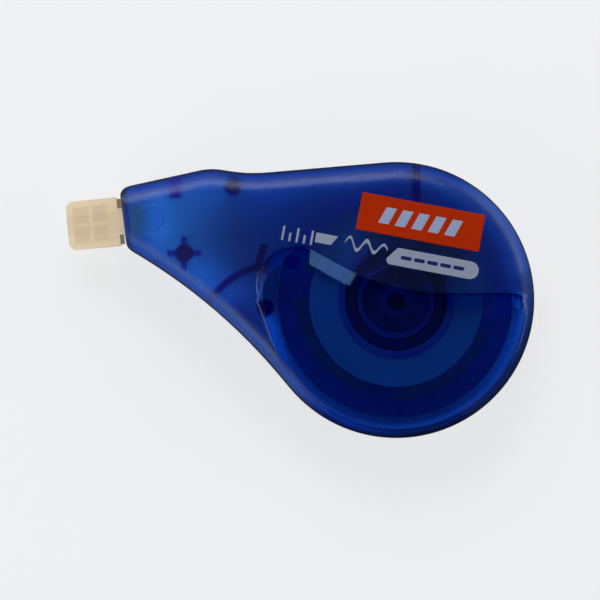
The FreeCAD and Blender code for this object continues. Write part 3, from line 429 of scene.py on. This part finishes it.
UNEVEN = (0.3, 0.7)
REEL_FLOW = (0.35, 3.0)
REEL_FINE = (12.0, 2.0)
REEL_SHADE = 0.85
REEL_ROUGH_SPREAD = 0.1
REEL_DEPTH = 0.006 * MM
WOUND_TURNS = (9.0, 4.0, 0.7)
WOUND_TURN_SHADE = 0.86
WOUND_BANDS = (1.2, 1.0)
WOUND_BAND_SHADE = 0.75
WOUND_BAND_SHARES = (0.0, 0.25)
WOUND_ROUGH = 0.55
WOUND_DEPTH = 0.03 * MM
FILM_STREAKS = (1.5, 3.0)
FILM_ROUGH = (0.08, 0.2)
FILM_COLOUR = (0.995, 0.995, 0.995)
FILM_INDEX = 1.5
FILM_GLOSS = 0.5
FILM_GLOSS_MOST = 0.05
TAPE_STREAKS = (1.2, 3.0)
TAPE_SHADE = 0.98
TAPE_ROUGH = 0.5
TAPE_CLEAR = 0.995


def reel_plastic(name, colour, rough):
    """Satin moulded plastic with faint flow marks."""
    graph = new_material(name)
    vector = graph.position()[0]
    flow = graph.noise(vector, *REEL_FLOW)
    fine = graph.noise(vector, *REEL_FINE)
    shade = graph.blend(graph.share(flow, *UNEVEN), darker(colour, REEL_SHADE), colour)
    return graph.surface(graph.shader(
        "BsdfPrincipled", Base_Color=shade, Normal=graph.bump(fine, REEL_DEPTH),
        Roughness=graph.remap(fine, *UNEVEN, rough, rough + REEL_ROUGH_SPREAD)))


def wound_tape(name, colour):
    """Side of a roll: fine rings of wound tape."""
    graph = new_material(name)
    _, x, y, _ = graph.position()
    radius = ring_distance(graph, x, y)
    ring = graph.add("ShaderNodeCombineXYZ", X=radius, Y=0.0, Z=0.0).outputs[0]
    turns = graph.noise(ring, *WOUND_TURNS)
    bands = graph.noise(ring, *WOUND_BANDS)
    shade = graph.blend(turns, darker(colour, WOUND_TURN_SHADE), colour)
    shade = graph.blend(graph.remap(bands, *UNEVEN, *WOUND_BAND_SHARES), shade,
                        darker(colour, WOUND_BAND_SHADE))
    return graph.surface(graph.shader("BsdfPrincipled", Base_Color=shade,
                                      Roughness=WOUND_ROUGH,
                                      Normal=graph.bump(turns, WOUND_DEPTH)))


def clear_film(name):
    """Thin clear carrier film."""
    graph = new_material(name)
    streak = graph.noise(graph.position()[0], *FILM_STREAKS)
    gloss = graph.shader("BsdfGlossy", Roughness=graph.remap(streak, *UNEVEN, *FILM_ROUGH))
    clear = graph.shader("BsdfTransparent", Color=FILM_COLOUR)
    fresnel = graph.add("ShaderNodeFresnel", IOR=FILM_INDEX).outputs["Fac"]
    amount = graph.math("MINIMUM", graph.math("MULTIPLY", fresnel, FILM_GLOSS), FILM_GLOSS_MOST)
    return graph.surface(graph.mix_shader(amount, clear, gloss))


def thin_tape(name, colour):
    """Thin white tape that light shines through."""
    graph = new_material(name)
    streak = graph.noise(graph.position()[0], *TAPE_STREAKS)
    shade = graph.blend(streak, darker(colour, TAPE_SHADE), colour)
    coat = graph.shader("BsdfPrincipled", Base_Color=shade, Roughness=TAPE_ROUGH)
    through = graph.shader("BsdfTransparent", Color=shade)
    return graph.surface(graph.mix_shader(TAPE_CLEAR, coat, through))


# ------------------------------------------------------------------ tip

TIP_FLOW = (0.5, 3.0)
TIP_FINE = (10.0, 2.0)
TIP_DEPTH = 0.008 * MM
TIP_ROUGH = (0.32, 0.42)
CREAM_LOW = (1.0, 0.82, 0.58)
CREAM_HIGH = (1.0, 0.87, 0.64)
# Painted shade in the thin pockets.
POCKET_PAINTED_SHADE = (0.72, 0.55, 0.44)
POCKET_SHADE_SHARE = 0.35
POCKET_HEIGHT = (0.36, 0.30)
# Painted shadow in the thin shoulders.
SHOULDER_PAINTED_SHADOW = (0.34, 0.25, 0.20)
SHOULDER_HEIGHT = (0.66, 0.56)
SHOULDER_START_X = (-57.6, -57.2)
SHOULDER_ACROSS = (2.65, 2.75)
TIP_GLOW_SHARE = 0.7
TIP_CLEAR_SHARE = 0.7
TIP_CLEAR_INDEX = 1.1
TIP_CLEAR_ROUGH = 0.4


def tip_colour(graph, vector, x, y, z):
    """Cream, with painted shade: a little browner in the thin pockets, and a brown painted shadow
    in the thin shoulders.
    """
    height = graph.math("ABSOLUTE", graph.math("SUBTRACT", z, MIDDLE_Z))
    across = graph.math("ABSOLUTE", line_distance(graph, x, y, *TIP_LINE))
    # Painted shade in the pockets, and painted shadow in the shoulders.
    pocket_shade = graph.math("MULTIPLY", graph.share(height, *POCKET_HEIGHT), POCKET_SHADE_SHARE)
    shoulder_shadow = graph.math("MULTIPLY", graph.share(height, *SHOULDER_HEIGHT),
                          graph.share(x, *SHOULDER_START_X),
                          graph.share(across, *SHOULDER_ACROSS))
    cream = graph.blend(graph.noise(vector, *TIP_FLOW), CREAM_LOW, CREAM_HIGH)
    cream = graph.blend(pocket_shade, cream, POCKET_PAINTED_SHADE)
    return graph.blend(shoulder_shadow, cream, SHOULDER_PAINTED_SHADOW)


def tip_plastic(name):
    """Milky cream plastic that lets light through."""
    graph = new_material(name)
    vector, x, y, z = graph.position()
    cream = tip_colour(graph, vector, x, y, z)
    fine = graph.noise(vector, *TIP_FINE)
    normal = graph.bump(fine, TIP_DEPTH)
    coat = graph.shader("BsdfPrincipled", Base_Color=cream, Normal=normal,
                        Roughness=graph.remap(fine, *UNEVEN, *TIP_ROUGH))
    glow = graph.shader("BsdfTranslucent", Color=cream)
    milky = graph.mix_shader(TIP_GLOW_SHARE, coat, glow)
    clear = graph.shader("BsdfPrincipled", Base_Color=cream, Normal=normal,
                         Roughness=TIP_CLEAR_ROUGH, IOR=TIP_CLEAR_INDEX,
                         Transmission_Weight=1.0)
    return graph.surface(graph.mix_shader(TIP_CLEAR_SHARE, milky, clear))


# ------------------------------------------------------------------ inks and label

# The label's bars repeat along it at a pitch, and are counted in pitches from its centre.

INK_NOISE = (7.0, 4.0, 0.7)
INK_SHADE = 0.82
INK_ROUGH = 0.45
INK_DEPTH = 0.008 * MM
LABEL_SHADE = 0.9
LABEL_ROUGH = 0.42
LABEL_DEPTH = 0.01 * MM
LABEL_GLOSS = 0.15
LABEL_LEAN = 0.35
LABEL_PITCH = 3.4
LABEL_BAR_HALF = 0.31
LABEL_ROW_HALF = (8.5, 1.7)
LABEL_PHASE = 50.5
PRINT_TILT = math.radians(-10.6)


def ink(name, colour):
    """Screen-printed ink, a little uneven."""
    graph = new_material(name)
    fine = graph.noise(graph.position()[0], *INK_NOISE)
    shade = graph.blend(graph.share(fine, *UNEVEN), darker(colour, INK_SHADE), colour)
    return graph.surface(graph.shader("BsdfPrincipled", Base_Color=shade, Roughness=INK_ROUGH,
                                      Normal=graph.bump(fine, INK_DEPTH)))


def label_bars(graph, x, y):
    """Share of the pale marks: a row of slanted bars along the label, 0 between them."""
    dx = graph.math("SUBTRACT", x, LABEL_CENTRE.x / MM)
    dy = graph.math("SUBTRACT", y, LABEL_CENTRE.y / MM)
    cos, sin = math.cos(PRINT_TILT), math.sin(PRINT_TILT)
    along = graph.math("ADD", graph.math("MULTIPLY", dx, cos), graph.math("MULTIPLY", dy, sin))
    across = graph.math("SUBTRACT", graph.math("MULTIPLY", dy, cos),
                        graph.math("MULTIPLY", dx, sin))
    lean = graph.math("SUBTRACT", along, graph.math("MULTIPLY", across, LABEL_LEAN))
    turns = graph.math("ADD", graph.math("DIVIDE", lean, LABEL_PITCH), LABEL_PHASE)
    phase = graph.math("ABSOLUTE", graph.math("SUBTRACT", graph.math("FRACT", turns), 0.5))
    return graph.math("MULTIPLY", graph.math("LESS_THAN", phase, LABEL_BAR_HALF), *(
        graph.math("LESS_THAN", graph.math("ABSOLUTE", place), half)
        for place, half in zip((lean, across), LABEL_ROW_HALF)))


def label_print(name, colour, marks):
    """Printed label with a row of slanted bars."""
    graph = new_material(name)
    vector, x, y, _ = graph.position()
    fine = graph.noise(vector, *INK_NOISE)
    base = graph.blend(graph.share(fine, *UNEVEN), darker(colour, LABEL_SHADE), colour)
    shade = graph.blend(label_bars(graph, x, y), base, marks)
    return graph.surface(graph.shader("BsdfPrincipled", Base_Color=shade,
                                      Roughness=LABEL_ROUGH, Specular_IOR_Level=LABEL_GLOSS,
                                      Normal=graph.bump(fine, LABEL_DEPTH)))


# ------------------------------------------------------------------ floor
# The floor glows like a light table. Under the casing the glow is masked into painted shade and
# light: it is dim below the reels, and brighter towards the nose, the upper edge and the tail of
# the tip, and tinted blue away from the nose.

FLOOR_NOISE = (0.05, 2.0)
FLOOR_ROUGH = 0.9
FLOOR_LOW = (0.34, 0.345, 0.35)
FLOOR_HIGH = (0.36, 0.365, 0.37)
FLOOR_GLOW = 0.74
OPEN_COLOUR = (0.98, 0.975, 0.965)
# Painted tints of the glow under the casing, blue away from the nose.
COVERED_COLOUR = (1.0, 1.1, 0.90)
BLUE_COLOUR = (0.36, 0.62, 1.08)
COVERED_EDGE = (0.0, 2.0)
BLUE_BY_X = (-44.0, -28.0)
# Painted shade below the reels, and painted light towards the nose, the upper edge and the tip's
# tail.
RING_DOWN = (-1.0, -5.0, 0.12, 0.38)
RING_FOOT = (-12.0, -24.0, 1.0, 0.45)
REEL_BAND = (22.0, 26.5)
REEL_GLOW = 0.07
NOSE_GLOW = (-34.0, -52.0, 0.19, 0.95)
WINDOW_FADE = (1.0, -1.0)
NOSE_START_X = (-18.0, -24.0)
BRIGHT_TOP = (-2.0, 4.0)
BRIGHT_NOSE = (-22.0, -28.0)
BRIGHT_BY_X = (-34.0, -46.0, 2.2, 1.1)
BRIGHT_BY_Y = (10.0, 3.0, 1.0, 1.7)
BRIGHT_INSIDE = (10.0, 3.0, 1.0)
TAIL_CIRCLE = (-51.0, 16.2, 2.0)
TAIL_GLOW = (0.0, 3.5, 1.9, 1.0)


def floor_glow(graph, x, y, inside, covered):
    """Share of the floor's glow: full in the open, and shaped under the casing as painted shade
    and painted light.
    """
    ring_level = graph.math("MULTIPLY", graph.remap(y, *RING_DOWN), graph.remap(y, *RING_FOOT))
    under_reel = graph.remap(ring_distance(graph, x, y), *REEL_BAND, REEL_GLOW, ring_level)
    frosted = graph.share(window_distance(graph, x, y), *WINDOW_FADE)
    reach = graph.math("MULTIPLY", graph.share(x, *NOSE_START_X), frosted)
    under = graph.mix_value(reach, under_reel, graph.remap(x, *NOSE_GLOW))
    beside = graph.math("MAXIMUM", graph.share(y, *BRIGHT_TOP), graph.share(x, *BRIGHT_NOSE))
    bright = graph.math("MULTIPLY", graph.remap(x, *BRIGHT_BY_X), graph.remap(y, *BRIGHT_BY_Y))
    near_edge = graph.remap(inside, *BRIGHT_INSIDE, bright)
    tail = graph.remap(ring_distance(graph, x, y, *TAIL_CIRCLE), *TAIL_GLOW)
    under = graph.math("MULTIPLY", under, graph.mix_value(beside, 1.0, near_edge), tail)
    return graph.mix_value(covered, 1.0, under)


def floor_material(name):
    """Pale studio surface that glows from below, with painted shade and painted light where the
    casing lies on it.
    """
    graph = new_material(name)
    vector, x, y, _ = graph.position()
    shade = graph.blend(graph.noise(vector, *FLOOR_NOISE), FLOOR_LOW, FLOOR_HIGH)
    inside = footprint(graph, x, y)
    covered = graph.share(inside, *COVERED_EDGE)
    glow = floor_glow(graph, x, y, inside, covered)
    # Painted blue tint in the glow under the casing, fading towards the nose.
    blue = graph.math("MULTIPLY", covered, graph.share(x, *BLUE_BY_X))
    colour = graph.blend(blue, graph.blend(covered, OPEN_COLOUR, COVERED_COLOUR), BLUE_COLOUR)
    return graph.surface(graph.shader(
        "BsdfPrincipled", Base_Color=shade, Roughness=FLOOR_ROUGH, Emission_Color=colour,
        Emission_Strength=graph.math("MULTIPLY", glow, FLOOR_GLOW)))


# ------------------------------------------------------------------ printed marks
# Outlines and places are in millimetres, before the prints' tilt.

PILL_SPOT = (7.4, 7.4)
PILL_HALF = 1.8
PILL_RIGHT_X = 7.5
PILL_LEFT_X = -7.6
PILL_HEEL_CIRCLE = (-8.6, -0.9, 0.9)
DASHES = 5
DASH_FIRST = -5.6
DASH_PITCH = 2.7
DASH_HALF = 0.75
DASH_RADIUS = 0.38
WAVE_SPOT = (-6.2, 10.9)
PATCH_SPOT = (-14.3, 12.3)
PATCH = [(-2.2, -1.0), (1.1, -1.0), (2.3, 1.0), (-2.2, 1.0)]
TICKS = 5
TICK_SPOT = (-23.0, 13.6)
TICK_STEP = (1.45, -0.25)
TICK_HALF = 0.22
TICK_FOOT = -1.45
TICK_TALL = 2.9
TICK_SHORT = 1.7


def flat_piece(name, outline, centre, material, thick=INK_THICK):
    """Thin plate of ink on the casing's face, from an outline about its centre."""
    mesh = bpy.data.meshes.new(name)
    work = bmesh.new()
    turn = Matrix.Rotation(PRINT_TILT, 3, "Z")
    verts = []
    for px, py in outline:
        spot = turn @ Vector((px, py, 0.0)) + Vector((*centre, 0.0))
        verts.append(work.verts.new((spot.x * MM, spot.y * MM, FACE_Z)))
    bottom = work.faces.new(verts)
    lifted = bmesh.ops.extrude_face_region(work, geom=[bottom])["geom"]
    for item in lifted:
        if isinstance(item, bmesh.types.BMVert):
            item.co.z = FACE_Z + thick
    bmesh.ops.recalc_face_normals(work, faces=work.faces)
    work.to_mesh(mesh)
    work.free()
    piece = bpy.data.objects.new(name, mesh)
    bpy.context.scene.collection.objects.link(piece)
    mesh.materials.append(material)
    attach(piece, "casing")


def round_end(x, y, radius, start, end, steps=12):
    """Points round part of a circle, angles in degrees."""
    points = []
    for i in range(steps + 1):
        turn = math.radians(start + (end - start) * i / steps)
        points.append((x + radius * math.cos(turn), y + radius * math.sin(turn)))
    return points


def wave_outline(length, rise, width, humps, steps=60):
    """Brush stroke that waves along its length, thick in the middle and calmer at its end."""
    end_calm = 0.35
    end_width = 0.55
    middle = []
    for i in range(steps + 1):
        share = i / steps
        x = (share - 0.5) * length
        y = rise * math.sin(share * humps * 2 * math.pi) * (1 - end_calm * share)
        swell = end_width + (1 - end_width) * math.sin(math.pi * share)
        middle.append((x, y, width * swell))
    top = [(x, y + w / 2) for x, y, w in middle]
    low = [(x, y - w / 2) for x, y, w in reversed(middle)]
    return top + low


def add_prints(white, navy):
    """Generic marks in the places of the printed words."""
    pill = round_end(PILL_RIGHT_X, 0.0, PILL_HALF, -90, 90) + [(PILL_LEFT_X, PILL_HALF)]
    pill += round_end(*PILL_HEEL_CIRCLE, 160, 270, steps=6)
    flat_piece("print_pill", pill, PILL_SPOT, white)
    for number in range(DASHES):
        x = DASH_FIRST + number * DASH_PITCH
        dash = round_end(x + DASH_HALF, 0, DASH_RADIUS, -90, 90)
        dash += round_end(x - DASH_HALF, 0, DASH_RADIUS, 90, 270)
        flat_piece(f"print_dash_{number}", dash, PILL_SPOT, navy, 1.5 * INK_THICK)
    wave = wave_outline(length=8.8, rise=1.3, width=0.85, humps=2.5)
    flat_piece("print_wave", wave, WAVE_SPOT, white)
    flat_piece("print_patch", PATCH, PATCH_SPOT, white)
    for number in range(TICKS):
        top = TICK_FOOT + (TICK_TALL if number % 2 == 0 else TICK_SHORT)
        tick = [(-TICK_HALF, TICK_FOOT), (TICK_HALF, TICK_FOOT), (TICK_HALF, top),
                (-TICK_HALF, top)]
        spot = (TICK_SPOT[0] + number * TICK_STEP[0], TICK_SPOT[1] + number * TICK_STEP[1])
        flat_piece(f"print_tick_{number}", tick, spot, white)


# ------------------------------------------------------------------ studio

SKY_COLOUR = (0.95, 0.97, 1.0)
SKY_BY_RISE = (0.48, 0.68, 1.0, 0.03)
SKY_BY_SIDE = (-0.75, 0.0, 0.10, 0.55)
SKY_BY_GROUND = (-0.05, 0.15, 0.05, 1.0)

# Name, azimuth and elevation in degrees, distance and size in metres, watts, colour, and
# the target in millimetres.
LAMPS = (
    ("softbox_ramp", -120.5, 46.0, 0.6, (0.10, 0.16), 0.18, (0.23, 0.53, 1.0),
     (-12.5, 6.0, 16.0)),
    ("softbox_right", 8.0, 24.0, 0.8, (0.45, 0.30), 0.8, (0.6, 0.8, 1.0), (0, 0, 0)),
    ("softbox_left", 215.0, 24.0, 0.8, (0.60, 0.35), 1.1, (0.6, 0.8, 1.0), (0, 0, 0)),
    ("softbox_key", 100.0, 42.0, 0.8, (0.50, 0.40), 1.75, (0.92, 0.97, 1.1), (0, 0, 0)),
)

CAMERA_LENS = 180.0
CAMERA_X = -19.6 * MM
CAMERA_NEAR = 0.01
FRAMED_WIDTH = 121.8 * MM
FRAMED_Z = 15 * MM


def add_floor():
    """Large pale floor just under the casing."""
    mesh = bpy.data.meshes.new("floor")
    corners = [(-FLOOR_HALF, -FLOOR_HALF, 0), (FLOOR_HALF, -FLOOR_HALF, 0),
               (FLOOR_HALF, FLOOR_HALF, 0), (-FLOOR_HALF, FLOOR_HALF, 0)]
    mesh.from_pydata(corners, [], [(0, 1, 2, 3)])
    floor = bpy.data.objects.new("floor", mesh)
    floor.location.z = CAD_BOX[0][2] - FLOOR_GAP
    bpy.context.scene.collection.objects.link(floor)
    mesh.materials.append(floor_material("floor_pale"))
    floor.visible_glossy = False


def sky():
    """World that is dark overhead and bright all round, like a ring of soft boxes."""
    graph = Graph(bpy.data.worlds.new("studio"), "ShaderNodeOutputWorld")
    way = graph.add("ShaderNodeTexCoord").outputs["Generated"]
    split = graph.add("ShaderNodeSeparateXYZ", Vector=way)
    rise, side = split.outputs["Z"], split.outputs["Y"]
    level = graph.math("MULTIPLY", graph.remap(rise, *SKY_BY_RISE, smooth=True),
                       graph.remap(rise, *SKY_BY_GROUND),
                       graph.remap(side, *SKY_BY_SIDE, smooth=True))
    return graph.surface(graph.shader("Background", Color=SKY_COLOUR, Strength=level))


def add_lamp(name, azimuth, elevation, reach, size, power, colour, target):
    """Soft rectangular lamp at a bearing from its target."""
    turn = math.radians(azimuth)
    rise = math.radians(elevation)
    way = Vector((math.cos(turn) * math.cos(rise), math.sin(turn) * math.cos(rise),
                  math.sin(rise)))
    data = bpy.data.lights.new(name, "AREA")
    data.shape = "RECTANGLE"
    data.size, data.size_y = size
    data.energy = power
    data.color = colour
    lamp = bpy.data.objects.new(name, data)
    lamp.location = Vector(target) * MM + way * reach
    lamp.rotation_euler = (-way).to_track_quat("-Z", "Y").to_euler()
    bpy.context.scene.collection.objects.link(lamp)


def add_studio():
    """Even pale surroundings, soft lamps and the camera above the object."""
    scene = bpy.context.scene
    scene.world = sky()
    scene.view_settings.view_transform = "Standard"
    for lamp in LAMPS:
        add_lamp(*lamp)
    camera = bpy.data.cameras.new("camera")
    camera.lens = CAMERA_LENS
    camera.clip_start = CAMERA_NEAR
    eye = bpy.data.objects.new("camera", camera)
    eye.location = (CAMERA_X, 0.0, FRAMED_Z + FRAMED_WIDTH * camera.lens / camera.sensor_width)
    scene.collection.objects.link(eye)
    scene.camera = eye


# ------------------------------------------------------------------ build

WHITE_INK = ink("ink_white", (0.63, 0.65, 0.77))
NAVY_INK = ink("ink_navy", (0.01, 0.03, 0.20))
use(casing_plastic("casing_front_plastic", True), "front_shell")
use(casing_plastic("casing_rear_plastic", False), "rear_shell")
use(label_print("label_orange", (0.92, 0.045, 0.0), (0.64, 0.69, 0.90)), "face_label")
use(tip_plastic("tip_cream"), "tip_head")
use(reel_plastic("spool_plastic", (0.26, 0.36, 0.80), 0.3), "supply_spool")
use(reel_plastic("reel_plastic", (0.03, 0.20, 0.64), 0.3), "take_up_reel")
use(reel_plastic("clutch_rubber", (0.02, 0.04, 0.25), 0.5), "clutch_ring")
use(wound_tape("tape_white", (0.88, 0.96, 0.96)), "supply_tape")
use(thin_tape("tape_white_run", (1.0, 0.996, 0.985)), "tape_supply_run")
use(wound_tape("film_wound", (0.60, 0.64, 0.68)), "used_film")
use(clear_film("film_clear"), "tape_return_run")
for part in ("front_shell", "rear_shell"):
    even = NODES[part].modifiers.new("even_normals", "WEIGHTED_NORMAL")
    even.keep_sharp = True
add_prints(WHITE_INK, NAVY_INK)
add_floor()
add_studio()
